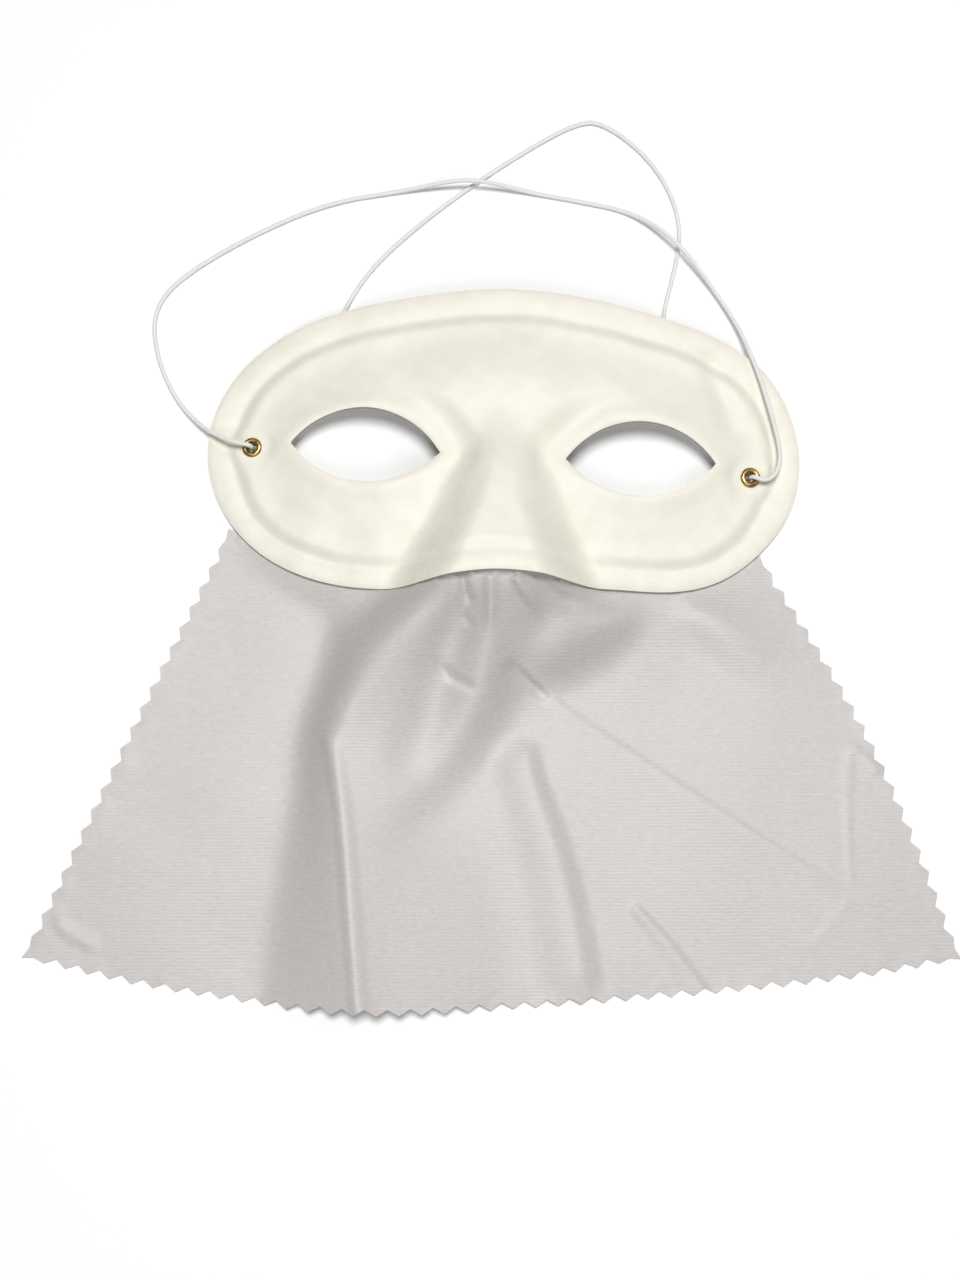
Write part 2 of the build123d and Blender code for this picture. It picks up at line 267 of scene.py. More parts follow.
def eye_outline(side, spacing):
    inner, outer, top, bottom = [
        (side * x, y) for x, y in (EYE_INNER, EYE_OUTER, EYE_TOP, EYE_BOTTOM)
    ]
    return np.concatenate([arc(inner, top, outer, spacing), arc(outer, bottom, inner, spacing)])


EDGE = mask_outline(2.0)
EYE = eye_outline(1, 1.5)


def rim_height(x, y):
    middle = np.clip(1 - (x / HALF_WIDTH) ** 2, 0, None)
    drop = CHEEK_DROP * middle * (np.minimum(y, 0) / CHEEK_EDGE_Y) ** 2
    return TEMPLE_HEIGHT + RIM_RISE * middle ** 1.5 - drop


def nose_height(x, y):
    """A rounded ridge between two flanks, widening and rising to the lower edge."""
    along = np.clip((NOSE_ROOT_Y - y) / (NOSE_ROOT_Y - NOSE_EDGE_Y), 0, 1.15)
    crest = NOSE_CREST_HALF_WIDTH * along ** 2
    foot = NOSE_ROOT_HALF_WIDTH + NOSE_FOOT_SPREAD * along
    across = smooth_step((foot - x) / (foot - crest)) * (1 - 0.15 * np.minimum(x / foot, 1) ** 2)
    return NOSE_RISE * smooth_step(along / 1.15) ** 0.8 * across


def socket_depth(x, y, eye_distance):
    """The hollow round each eye hole, deepest towards the brow's inner end."""
    shelf = 1 - smooth_step((eye_distance - SOCKET_SHELF) / SOCKET_WALL)
    inward = smooth_step((46 - x) / 30)
    upward = smooth_step((y + 16) / 18)
    return SOCKET_DEPTH * shelf * inward * (0.25 + 0.75 * upward)


def band_width(y):
    return RIM_BAND + (LOWER_BAND - RIM_BAND) * smooth_step((-y - 8) / 20)


def broad_form(points, edge_distance, eye_distance):
    x, y = np.abs(points[:, 0]), points[:, 1]
    inner = edge_distance - band_width(y)
    height = rim_height(x, y) + nose_height(x, y) - socket_depth(x, y, eye_distance)
    height += STEP_RISE * smooth_step(inner / STEP_RUN)
    height += DOME_RISE * smooth_step((inner - 4) / DOME_RUN)
    return height + BROW_SWELL * bell(x / 17) * bell((y - 27) / 13)


def distances(points):
    """Of each point from the mask's edge and from the nearer eye hole."""
    mirrored = np.column_stack([np.abs(points[:, 0]), points[:, 1]])
    return nearest_on(points, EDGE, closed=True)[0], nearest_on(mirrored, EYE, closed=True)[0]


def pressed_seat(points, height):
    """Pressed flat round each eyelet."""
    for at in EYELETS.values():
        away = np.hypot(points[:, 0] - at[0], points[:, 1] - at[1])
        tilt = rim_height(at[0] + 0.5, at[1]) - rim_height(at[0] - 0.5, at[1])
        seat = rim_height(*at) + EYELET_SEAT_RISE + tilt * (points[:, 0] - at[0])
        pressed = 1 - smooth_step((away - SEAT_RADIUS) / SEAT_BLEND)
        height = height * (1 - pressed) + seat * pressed
    return height


def back_height(points):
    """Lining face: the broad form without the fine relief."""
    return pressed_seat(points, broad_form(points, *distances(points))) - LAMINATE


def face_height(points):
    """Satin face, with the groove inside the rim, the crest beside it and small dents."""
    x, y = np.abs(points[:, 0]), points[:, 1]
    edge_distance, eye_distance = distances(points)
    height = broad_form(points, edge_distance, eye_distance)
    inner = edge_distance - band_width(y)
    # the groove and its crest fade out over the middle of the brow and over the nose
    faded = 1 - 0.6 * bell(x / 34) * smooth_step(y / 30) - bell(x / 36) * smooth_step(-y / 22)
    height -= GROOVE_DEPTH * faded * bell(inner / GROOVE_HALF_WIDTH)
    height += CREST_RISE * faded * bell((inner - CREST_INSET) / CREST_HALF_WIDTH)
    height += BAND_SWELL * bell((edge_distance - 4) / 3)
    height += EYE_SWELL * bell((eye_distance - 2) / 3.2)
    height = pressed_seat(points, height)
    for line, depth, half_width in DENTS:
        away, _, share = nearest_on(points, smooth_curve(line, 4))
        ends = smooth_step(share / 0.2) * smooth_step((1 - share) / 0.4)
        height -= depth * bell(away / half_width) * ends
    nick = nearest_on(points, np.array(NICK))[0]
    height -= NICK_DEPTH * bell(nick / NICK_HALF_WIDTH)
    height += sum(ripple(points, *each) for each in MASK_RIPPLES)
    pressed_edge = RIM_ROUNDING[0] * bell(edge_distance / RIM_ROUNDING[1])
    pressed_edge += EYE_ROUNDING[0] * bell(eye_distance / EYE_ROUNDING[1])
    return height - pressed_edge


def ripple(points, wavelength, amplitude, seed):
    """A gentle uneven surface: a few plane waves in seeded directions."""
    random = np.random.default_rng(seed)
    total = np.zeros(len(points))
    for _ in range(7):
        angle, phase = random.uniform(0, 2 * math.pi, 2)
        length = wavelength * random.uniform(0.7, 1.5)
        wave = (points[:, 0] * math.cos(angle) + points[:, 1] * math.sin(angle)) / length
        total += np.sin(2 * math.pi * wave + phase)
    return amplitude * total / math.sqrt(7)


# ---------------------------------------------------------------- mesh building

def grid_inside(loops, spacing):
    """A triangular lattice of points inside the first loop and outside the others."""
    low, high = loops[0].min(0), loops[0].max(0)
    rows = np.arange(low[1], high[1], spacing * 0.866)
    points = []
    for i, y in enumerate(rows):
        xs = np.arange(low[0] + spacing * 0.5 * (i % 2), high[0], spacing)
        points.append(np.column_stack([xs, np.full(len(xs), y)]))
    points = np.concatenate(points)
    keep = inside(points, loops[0])
    for loop in loops[1:]:
        keep &= ~inside(points, loop)
    points = points[keep]
    for loop in loops:
        points = points[nearest_on(points, loop, closed=True)[0] > 0.6 * spacing]
    return points


def inset_loop(loop, distance):
    """The loop moved sideways by a distance, positive to its left."""
    along = np.roll(loop, -1, 0) - np.roll(loop, 1, 0)
    along /= np.linalg.norm(along, axis=1)[:, None]
    return loop + distance * np.column_stack([-along[:, 1], along[:, 0]])


def triangulate(loops, inner):
    """Triangles over the area between the loops, through the inner points."""
    points = np.concatenate(loops + inner)
    edges = []
    start = 0
    for loop in loops:
        count = len(loop)
        edges += [(start + i, start + (i + 1) % count) for i in range(count)]
        start += count
    vectors = [Vector(point) for point in points]
    found, _, faces, origins, _, _ = delaunay_2d_cdt(vectors, edges, [], 0, 1e-5)
    if len(found) != len(points):
        raise RuntimeError("two points of a sheet coincide")
    order = np.array([origin[0] for origin in origins])
    faces = order[np.array(faces)]
    middles = points[faces].mean(1)
    sides = points[faces[:, 1:]] - points[faces[:, :1]]
    doubled = np.abs(sides[:, 0, 0] * sides[:, 1, 1] - sides[:, 0, 1] * sides[:, 1, 0])
    keep = inside(middles, loops[0]) & (doubled > 1e-4)
    for loop in loops[1:]:
        keep &= ~inside(middles, loop)
    return points, faces[keep]


def layered_sheet(name, loops, inner, top, bottom, materials, wall_shares):
    """A closed sheet between two height functions, its cut edge in bands.

    wall_shares are how far down the cut edge each band ends; each band has a material.
    """
    points, faces = triangulate(loops, inner)
    upper = np.column_stack([points, top(points)])
    lower = np.column_stack([points, bottom(points)])
    a, b, c = points[faces].transpose(1, 0, 2)
    turn = np.cross(b - a, c - a)
    faces[turn < 0] = faces[turn < 0][:, ::-1]
    count = len(points)
    vertices = [upper, lower]
    polygons = [list(face) for face in faces]
    slots = [0] * len(faces)
    polygons += [[v + count for v in face[::-1]] for face in faces]
    slots += [len(materials) - 1] * len(faces)
    start, extra = 0, 2 * count
    for number, loop in enumerate(loops):
        size = len(loop)
        ring = np.arange(start, start + size)
        forward = (signed_area(loop) > 0) == (number == 0)
        bands = [ring]
        for share in wall_shares[:-1]:
            vertices.append(upper[ring] * (1 - share) + lower[ring] * share)
            bands.append(np.arange(extra, extra + size))
            extra += size
        bands.append(ring + count)
        for band in range(len(bands) - 1):
            for i in range(size):
                j = (i + 1) % size
                quad = [bands[band][i], bands[band + 1][i], bands[band + 1][j], bands[band][j]]
                polygons.append(quad if forward else quad[::-1])
                slots.append(min(band + 1, len(materials) - 1))
        start += size
    mesh = bpy.data.meshes.new(name)
    corners = (np.concatenate(vertices) * MM).tolist()
    mesh.from_pydata(corners, [], [[int(v) for v in polygon] for polygon in polygons])
    for material in materials:
        mesh.materials.append(material)
    mesh.polygons.foreach_set("material_index", slots)
    mesh.shade_smooth()
    mesh.set_sharp_from_angle(angle=math.radians(60))
    mesh.update()
    piece = bpy.data.objects.new(name, mesh)
    bpy.context.collection.objects.link(piece)
    return piece


# ---------------------------------------------------------------- materials

def new_material(name, colour, roughness):
    material = bpy.data.materials.new(name)
    material.use_nodes = True
    shader = material.node_tree.nodes["Principled BSDF"]
    shader.inputs["Base Color"].default_value = (*colour, 1)
    shader.inputs["Roughness"].default_value = roughness
    return material, material.node_tree, shader


def node(tree, kind, inputs=None, **settings):
    """A shader node with its settings and its socket values or links."""
    made = tree.nodes.new(kind)
    for key, value in settings.items():
        setattr(made, key, value)
    for key, value in (inputs or {}).items():
        if isinstance(value, bpy.types.NodeSocket):
            tree.links.new(value, made.inputs[key])
        else:
            made.inputs[key].default_value = value
    return made


def thread_wave(tree, direction, pitch_mm, warp=0.0):
    """Parallel threads as a sine, running at right angles to the direction."""
    place = node(tree, "ShaderNodeTexCoord").outputs["Object"]
    if warp:
        noise = node(tree, "ShaderNodeTexNoise", {"Vector": place, "Scale": 60.0, "Detail": 2.0})
        moved = node(tree, "ShaderNodeVectorMath", {0: noise.outputs["Color"], "Scale": warp * MM},
                     operation="SCALE")
        place = node(tree, "ShaderNodeVectorMath", {0: place, 1: moved.outputs[0]},
                     operation="ADD").outputs[0]
    angle = math.radians(direction)
    normal = (math.cos(angle), math.sin(angle), 0)
    along = node(tree, "ShaderNodeVectorMath", {0: place, 1: normal}, operation="DOT_PRODUCT")
    per_metre = 2 * math.pi / (pitch_mm * MM)
    turns = node(tree, "ShaderNodeMath", {0: along.outputs["Value"], 1: per_metre},
                 operation="MULTIPLY")
    return node(tree, "ShaderNodeMath", {0: turns.outputs[0]}, operation="SINE").outputs[0]


def mix_values(tree, a, b, weight):
    return node(tree, "ShaderNodeMath", {0: b, 1: weight, 2: a}, operation="MULTIPLY_ADD").outputs[0]


def colour_between(tree, value, low, high):
    ramp = node(tree, "ShaderNodeMapRange", {"Value": value, "From Min": 0.3, "From Max": 0.7})
    mixed = node(tree, "ShaderNodeMix", {"Factor": ramp.outputs["Result"]}, data_type="RGBA")
    mixed.inputs[6].default_value = (*low, 1)
    mixed.inputs[7].default_value = (*high, 1)
    return mixed.outputs[2]


def cloth_material(name, low, high, roughness, threads, bump_mm, sheen, mottling=90.0, gloss=0.25,
                   stretch=(1.0, 1.0, 1.0)):
    """Cloth from crossing threads, with uneven colour and a soft sheen."""
    material, tree, shader = new_material(name, high, roughness)
    place = node(tree, "ShaderNodeTexCoord").outputs["Object"]
    place = node(tree, "ShaderNodeVectorMath", {0: place, 1: stretch},
                 operation="MULTIPLY").outputs[0]
    patches = node(tree, "ShaderNodeTexNoise", {"Vector": place, "Scale": mottling, "Detail": 6.0,
                                                "Roughness": 0.65})
    colour = colour_between(tree, patches.outputs["Fac"], low, high)
    tree.links.new(colour, shader.inputs["Base Color"])
    fibres = node(tree, "ShaderNodeTexNoise", {"Vector": place, "Scale": 1400.0, "Detail": 3.0})
    relief = fibres.outputs["Fac"]
    for direction, pitch, weight, warp in threads:
        relief = mix_values(tree, relief, thread_wave(tree, direction, pitch, warp), weight)
    bump = node(tree, "ShaderNodeBump", {"Height": relief, "Distance": bump_mm * MM, "Strength": 1.0})
    tree.links.new(bump.outputs["Normal"], shader.inputs["Normal"])
    shader.inputs["Sheen Weight"].default_value = sheen
    shader.inputs["Sheen Roughness"].default_value = 0.45
    shader.inputs["Specular IOR Level"].default_value = gloss
    return material


def brass_material():
    material, tree, shader = new_material("eyelet_brass", (0.50, 0.34, 0.12), 0.24)
    place = node(tree, "ShaderNodeTexCoord").outputs["Object"]
    tarnish = node(tree, "ShaderNodeTexNoise", {"Vector": place, "Scale": 700.0, "Detail": 4.0})
    colour = colour_between(tree, tarnish.outputs["Fac"], (0.33, 0.21, 0.07), (0.62, 0.44, 0.17))
    tree.links.new(colour, shader.inputs["Base Color"])
    rough = node(tree, "ShaderNodeMapRange", {"Value": tarnish.outputs["Fac"], "To Min": 0.18,
                                              "To Max": 0.4})
    tree.links.new(rough.outputs["Result"], shader.inputs["Roughness"])
    shader.inputs["Metallic"].default_value = 1.0
    return material


def plain_material(name, colour, roughness, grain_scale, bump_mm):
    material, tree, shader = new_material(name, colour, roughness)
    place = node(tree, "ShaderNodeTexCoord").outputs["Object"]
    grain = node(tree, "ShaderNodeTexNoise", {"Vector": place, "Scale": grain_scale, "Detail": 4.0})
    shade = tuple(channel * 0.9 for channel in colour)
    mottled = colour_between(tree, grain.outputs["Fac"], shade, colour)
    tree.links.new(mottled, shader.inputs["Base Color"])
    bump = node(tree, "ShaderNodeBump", {"Height": grain.outputs["Fac"], "Distance": bump_mm * MM})
    tree.links.new(bump.outputs["Normal"], shader.inputs["Normal"])
    return material


SATIN_CLOTH = cloth_material(
    "mask_satin", (0.765, 0.74, 0.645), (0.82, 0.795, 0.70), 0.48,
    threads=[(38, 0.62, 0.4, 0.15), (-52, 0.45, 0.15, 0.1)], bump_mm=0.045, sheen=0.1, mottling=140.0,
    gloss=0.6,
)
CUT_EDGE = plain_material("cut_core_edge", (0.50, 0.47, 0.40), 0.95, 1500.0, 0.1)
LINING_CLOTH = cloth_material(
    "mask_lining", (0.66, 0.65, 0.60), (0.74, 0.73, 0.68), 0.8,
    threads=[(0, 0.7, 0.6, 0.1), (90, 0.7, 0.6, 0.1)], bump_mm=0.05, sheen=0.1,
)
VEIL_CLOTH = cloth_material(
    "veil_knit", (0.46, 0.43, 0.41), (0.53, 0.50, 0.48), 0.5,
    threads=[(93.2, 1.05, 0.28, 0.6)], bump_mm=0.035, sheen=0.1, mottling=1100.0, gloss=0.85,
    stretch=(0.4, 1.0, 1.0),
)
BRASS = brass_material()
ELASTIC = plain_material("elastic_braid", (0.80, 0.79, 0.77), 0.75, 2200.0, 0.06)
GLUE = plain_material("dried_glue", (0.70, 0.66, 0.55), 0.35, 500.0, 0.05)


# ---------------------------------------------------------------- mask

def make_mask():
    outline = mask_outline(MASK_EDGE_SPACING)
    eyes = [eye_outline(side, EYE_EDGE_SPACING) for side in (-1, 1)]
    holes = [
        circle(EYELETS[side], BARREL_RADIUS + 0.05, EYELET_HOLE_POINTS) for side in (-1, 1)
    ]
    rings = [inset_loop(outline, -distance) for distance in (0.35, 0.8)]
    lattice = grid_inside([inset_loop(outline, -0.9)] + eyes + holes, MASK_SPACING)
    for side, eye in zip((-1, 1), eyes):
        rings.append(inset_loop(eye, 0.35 * side))
        lattice = lattice[nearest_on(lattice, eye, closed=True)[0] > 0.85]
    mask = layered_sheet(
        "mask_shell", [outline] + eyes + holes, rings + [lattice], face_height, back_height,
        [SATIN_CLOTH, SATIN_CLOTH, CUT_EDGE, LINING_CLOTH],
        [SATIN / LAMINATE, 1 - LINING / LAMINATE, 1],
    )
    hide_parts("outer_cover", "stiffener_shell", "rear_lining")
    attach(mask, "mask")


# ---------------------------------------------------------------- veil

def pinked(line):
    """A zigzag along a line, its teeth out to the line and its notches to the line's left."""
    runs = np.linalg.norm(np.diff(line, axis=0), axis=1)
    at = np.concatenate([[0], np.cumsum(runs)])
    teeth = round(at[-1] / TOOTH_PITCH)
    stops = np.linspace(0, at[-1], 2 * teeth + 1)
    tips = np.column_stack([np.interp(stops, at, line[:, k]) for k in (0, 1)])
    along = np.gradient(tips, axis=0)
    along /= np.linalg.norm(along, axis=1)[:, None]
    inward = np.column_stack([-along[:, 1], along[:, 0]])
    depths = np.full(teeth, TOOTH_DEPTH)
    depths[[0, -1]] = CORNER_DEPTH
    tips[1::2] += depths[:, None] * inward[1::2]
    return tips


def lower_edge_y(x):
    """The mask's lower edge, carried on level past the temples."""
    lower = EDGE[EDGE[:, 1] < -14]
    lower = lower[np.argsort(lower[:, 0])]
    return np.interp(x, lower[:, 0], lower[:, 1])


def veil_outline(spacing):
    glued = [(x, lower_edge_y(x) + GLUE_INSET) for x in GLUED_X]
    top = [VEIL_RIGHT[-1]] + glued + [VEIL_LEFT[0]]
    zigzags = [pinked(smooth_curve(side, 1.0)) for side in (VEIL_LEFT, VEIL_HEM, VEIL_RIGHT)]
    corners = np.concatenate([zigzag[:-1] for zigzag in zigzags])
    sides = []
    for a, b in zip(corners, np.vstack([corners[1:], VEIL_RIGHT[-1]])):
        steps = math.ceil(np.linalg.norm(b - a) / spacing)
        sides.append(a + (b - a) * (np.arange(steps) / steps)[:, None])
    return np.concatenate(sides + [smooth_curve(top, spacing)[:-1]])


# Height of the cloth along its crests and valleys: (x, y, height above the table)
GUIDES = [
    # left boundary of the folds, lying on the table
    [(-84, -33, 0.3), (-74, -40, 0), (-65, -46, 0), (-52, -55, 0), (-54, -79, 0), (-58, -107, 0),
     (-61, -130, 0), (-65, -169, 0)],
    # hollow under the left cheek
    [(-58, -47, 0.8), (-48, -51, 1.8), (-39, -52, 4)],
    # the long pressed fold at the left
    [(-49.5, -89, 9.4), (-44.5, -114, 9), (-39.7, -144.6, 9.2), (-35, -178, 9.2)],
    # dip beside it
    [(-17, -51.5, 16.4), (-28, -64, 12.6), (-36, -78, 9), (-41, -94, 7.2), (-37, -112, 7), (-31, -135, 6.9),
     (-27, -155, 6.8), (-24, -178, 6.6)],
    # foot of the slope to the right of the long fold
    [(2, -120, 1.5), (6, -140, 1), (12, -158, 0.8)],
    # second crest, and the broad valley beside it
    [(-10, -46, 18.3), (-15.5, -54, 15.8), (-21.5, -62, 13.4), (-28.7, -77, 9.6), (-33.4, -91, 7.6),
     (-33.7, -106, 6.8), (-31.5, -118, 6.4)],
    [(-8.5, -48, 15), (-11.5, -54, 10.5), (-14, -62, 7.4), (-16, -72, 5), (-17, -84, 3.2),
     (-19.5, -96, 2.2), (-24, -107, 1.8)],
    # valley that runs from the right of the nose down to the left
    [(5.5, -62, 9), (6.5, -70, 4), (4.8, -79, 1.2), (-1, -90.5, 0.4), (-9, -102, 1), (-17, -112, 2.4),
     (-26, -123, 4.8)],
    # pleats under the middle of the nose
    [(1.6, -44, 19.5), (2.4, -49, 16.5), (4, -56, 12)],
    [(4, -42.5, 21.8), (6, -46, 20.5), (9.2, -51, 17.5), (11, -55.5, 13)],
    [(12.2, -43, 18), (13.6, -47, 14), (13.8, -52, 11), (13, -57, 8)],
    # soft puff on the right, and the deep valley round it
    [(17, -44, 16.6), (21, -46.5, 12.6), (28, -48.5, 8.2), (36, -48.5, 5.6)],
    [(41, -50, 6.8), (33.5, -52.6, 8.8), (26, -56.5, 9.6), (19.5, -62, 8.6), (14, -67.5, 6)],
    [(35, -49.6, 8), (28, -51.6, 10), (21, -55.5, 11), (15.5, -60.5, 9.6)],
    [(50, -44.5, 3.2), (44, -54.3, 1.6), (36.8, -62.3, 0.8), (28.3, -68.8, 0.4), (19.7, -72, 0.4),
     (12.5, -72, 1.2)],
    # crest from the right cheek, and the slope under it
    [(55, -42.5, 4.6), (64, -46.5, 4), (74.2, -53.4, 2.8), (84, -62, 1.2)],
    [(56, -46.5, 2.6), (61.7, -54, 1.1), (69.5, -62.5, 0.4), (80, -71, 0.1)],
    # the rest of the hem and the right side lie flat
    [(8, -174, 0.4), (20, -172, 0.9), (33, -170, 1.3), (48, -168, 0), (148, -149, 0),
     (119, -82, 0), (84, -28, 0.3)],
    [(30, -80, 0.2), (60, -72, 0)],
]

# Crests with a rounded top: line, and half the width of the top
ROUND_CRESTS = [
    # from the nose's left corner round to the long pressed fold
    ([(-13, -44.5, 19.4), (-19, -49, 18.2), (-27, -56.5, 16.2), (-35.5, -67, 13.4), (-42, -78, 11),
      (-47, -88, 9.4)], 2.6),
    # straight down from the nose and then to the left
    ([(-2, -43, 22), (-1, -50, 20), (-1, -60, 16), (-1.6, -70, 12), (-4, -79, 9), (-9, -89, 7),
      (-15.6, -97.6, 6), (-23, -106.5, 5.6), (-30, -117, 5.9)], 1.5),
]

# The cloth to the left of the folds, flat on the table
FLAT_LEFT = [
    (-160, -20), (-84, -33), (-65, -46), (-52, -55), (-54, -79), (-58, -107), (-61, -130),
    (-65, -190), (-160, -190),
]


def guide_grid():
    """The cloth's height between its guides, as a stretched skin, on a grid."""
    step, x_from, y_from = FOLD_STEP, FOLD_X_FROM, FOLD_Y_FROM
    shape = (FOLD_ROWS, FOLD_COLUMNS)
    height = np.zeros(shape)
    fixed = np.zeros(shape, bool)
    edge_x = np.arange(-86, 86, 0.7)
    edge = np.column_stack([edge_x, lower_edge_y(edge_x)])
    glued = back_height(edge) - GLUE_SPACE - CLOTH
    lines = [smooth_curve(guide, 0.7) for guide in GUIDES]
    for guide, half_width in ROUND_CRESTS:
        crest = smooth_curve(guide, 0.7)
        along = np.gradient(crest[:, :2], axis=0)
        along /= np.linalg.norm(along, axis=1)[:, None]
        taper = np.linspace(0.6, 1, len(crest)) * half_width
        across = np.column_stack([-along[:, 1] * taper, along[:, 0] * taper, np.zeros(len(crest))])
        lines += [crest - across, crest, crest + across]
    for out, drop in ((3.0, 0.05), (1.5, 0.01), (0, 0)):
        lines.append(np.column_stack([edge_x, edge[:, 1] - out, glued * (1 - drop)]))
    for line in lines:
        i = np.round((line[:, 1] - y_from) / step).astype(int)
        j = np.round((line[:, 0] - x_from) / step).astype(int)
        height[i, j] = np.maximum(line[:, 2], 0)
        fixed[i, j] = True
    x, y = np.meshgrid(x_from + step * np.arange(shape[1]), y_from + step * np.arange(shape[0]))
    cells = np.column_stack([x.ravel(), y.ravel()])
    fixed |= inside(cells, np.array(FLAT_LEFT, float)).reshape(shape)
    kept = height.copy()
    for _ in range(SKIN_PASSES):
        height = np.where(fixed, kept, neighbour_mean(height))
    fan = bell(np.hypot(x - FAN_CENTRE[0], y - FAN_CENTRE[1]) / FAN_RADIUS)
    for share in [SMOOTH_SHARE] * SMOOTH_PASSES + [SMOOTH_SHARE * fan] * FAN_PASSES:
        height = (1 - share) * height + share * neighbour_mean(height)
    return height, x_from, y_from, step


def neighbour_mean(height):
    padded = np.pad(height, 1, mode="edge")
    return (padded[:-2, 1:-1] + padded[2:, 1:-1] + padded[1:-1, :-2] + padded[1:-1, 2:]) / 4


def sample_grid(grid, points):
    """Smooth cubic sampling of the grid."""
    height, x_from, y_from, step = grid
    u = (points[:, 0] - x_from) / step
    v = (points[:, 1] - y_from) / step
    i, j = np.floor(v).astype(int), np.floor(u).astype(int)
    total = np.zeros(len(points))
    for a, row_weight in zip((-1, 0, 1, 2), spline_weights(v - i)):
        for b, column_weight in zip((-1, 0, 1, 2), spline_weights(u - j)):
            rows = np.clip(i + a, 0, height.shape[0] - 1)
            columns = np.clip(j + b, 0, height.shape[1] - 1)
            total += row_weight * column_weight * height[rows, columns]
    return total


def spline_weights(t):
    return (
        (1 - t) ** 3 / 6, (3 * t ** 3 - 6 * t ** 2 + 4) / 6,
        (-3 * t ** 3 + 3 * t ** 2 + 3 * t + 1) / 6, t ** 3 / 6,
    )


def crease(points, line, height, left, right, fade_in, fade_out):
    """A pressed crease: height along a line, falling off softly over its left and right widths.

    Each width is a pair, at the line's start and end. The fades are shares of the line's length.
    """
    distance, side, share = nearest_on(points, smooth_curve(line, 2))
    width = np.where(
        side > 0, left[0] + (left[1] - left[0]) * share, right[0] + (right[1] - right[0]) * share
    )
    fall = np.clip(1 - distance / np.maximum(width, 0.1), 0, 1)
    ends = smooth_step(share / fade_in) * smooth_step((1 - share) / fade_out)
    return height * ends * smooth_step(fall)


# Pressed creases: line, height, left widths, right widths, fades in and out
CREASES = [
    ([(-51, -87), (-44.5, -114), (-39.7, -144.6), (-34.5, -180)], 0.9, (5, 5), (3, 3), 0.1, 0.01),
    ([(9.9, -86), (13.3, -100.5), (19.8, -117), (24.6, -131), (29, -147), (34, -172)],
     1.5, (6, 8), (13, 16), 0.12, 0.15),
    ([(3, -63), (12, -69), (20, -75.7), (43, -90.5), (65, -103.5), (88, -117), (114, -131.5)],
     0.3, (1.8, 1.5), (9, 6), 0.02, 0.1),
    ([(4, -64.5), (11, -70), (20, -76.4)], -1.3, (1.6, 1.8), (6, 3.5), 0.2, 0.3),
    ([(-20.2, -64.5), (-15.4, -69.5), (-9, -73.5), (-2.6, -76)], -0.7, (3, 3), (2.2, 2.2), 0.3, 0.3),
    ([(113.4, -85.5), (113, -109.4), (114.5, -131)], 0.16, (1.8, 1.4), (4, 1.6), 0.05, 0.1),
    ([(113.4, -85.5), (118, -89.3), (123, -94)], 0.35, (2.5, 2.5), (4, 4), 0.1, 0.1),
    ([(114.5, -131.8), (106.4, -143.3), (97, -153)], 0.1, (3, 3), (2.4, 2.4), 0.1, 0.3),
    ([(114.5, -131.8), (128, -135), (142, -139)], 0.08, (2.4, 2.4), (2.4, 2.4), 0.1, 0.2),
    ([(46, -137.4), (57.6, -148.6), (72, -166)], 0.6, (1.8, 2.4), (3, 9), 0.1, 0.01),
    ([(-10, -52.8), (-8, -55), (-6, -57)], -0.5, (1.6, 1.6), (1.6, 1.6), 0.3, 0.3),
    ([(-10.3, -40.5), (-9.4, -46), (-6.8, -50.5)], -1.6, (2.2, 1.4), (2.6, 2), 0.02, 0.4),
    ([(11, -39.5), (17.7, -44.2), (27.2, -47.8)], -1.6, (2.6, 2), (3, 2.4), 0.02, 0.4),
    ([(5.6, -41), (9.4, -46.2), (12.6, -49.8), (13.2, -54)], 1.5, (2.6, 2), (2.4, 1.8), 0.02, 0.4),
    ([(-2, -41), (-1.3, -49), (-1.3, -60)], 1.2, (3, 2.6), (3, 2.6), 0.02, 0.5),
    ([(-132, -151), (-122, -158), (-115, -160)], 0.4, (4, 4), (3, 3), 0.2, 0.2),
]


def veil_creases(points):
    return sum(crease(points, *each) for each in CREASES)


def make_veil():
    outline = veil_outline(VEIL_EDGE_SPACING)
    grid = guide_grid()

    def top(points):
        height = np.maximum(sample_grid(grid, points), 0) + veil_creases(points)
        edge_distance = nearest_on(points, outline, closed=True)[0]
        height += 0.12 + ripple(points, 38.0, 0.12, 3)
        height += np.abs(ripple(points, 11.0, 0.12, 4)) * bell(edge_distance / 3.5)
        behind = inside(points, EDGE)
        height = np.maximum(height, 0) + CLOTH
        height[behind] = np.maximum(back_height(points[behind]) - GLUE_SPACE, CLOTH)
        return height

    lattice = grid_inside([outline], VEIL_SPACING)
    veil = layered_sheet(
        "veil", [outline], [lattice], top, lambda points: top(points) - CLOTH,
        [VEIL_CLOTH, VEIL_CLOTH, VEIL_CLOTH], [1],
    )
    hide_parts("veil_top", "veil_panel")
    flat_area = abs(signed_area(outline))
    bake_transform(veil)


# ---------------------------------------------------------------- elastic

KNOT_LENGTH = 5.6
KNOT_CENTRE = Vector((-71.9, 12.0, 1.75))
KNOT_AXIS = (Vector((*EYELETS[-1], KNOT_CENTRE.z)) - KNOT_CENTRE).normalized()


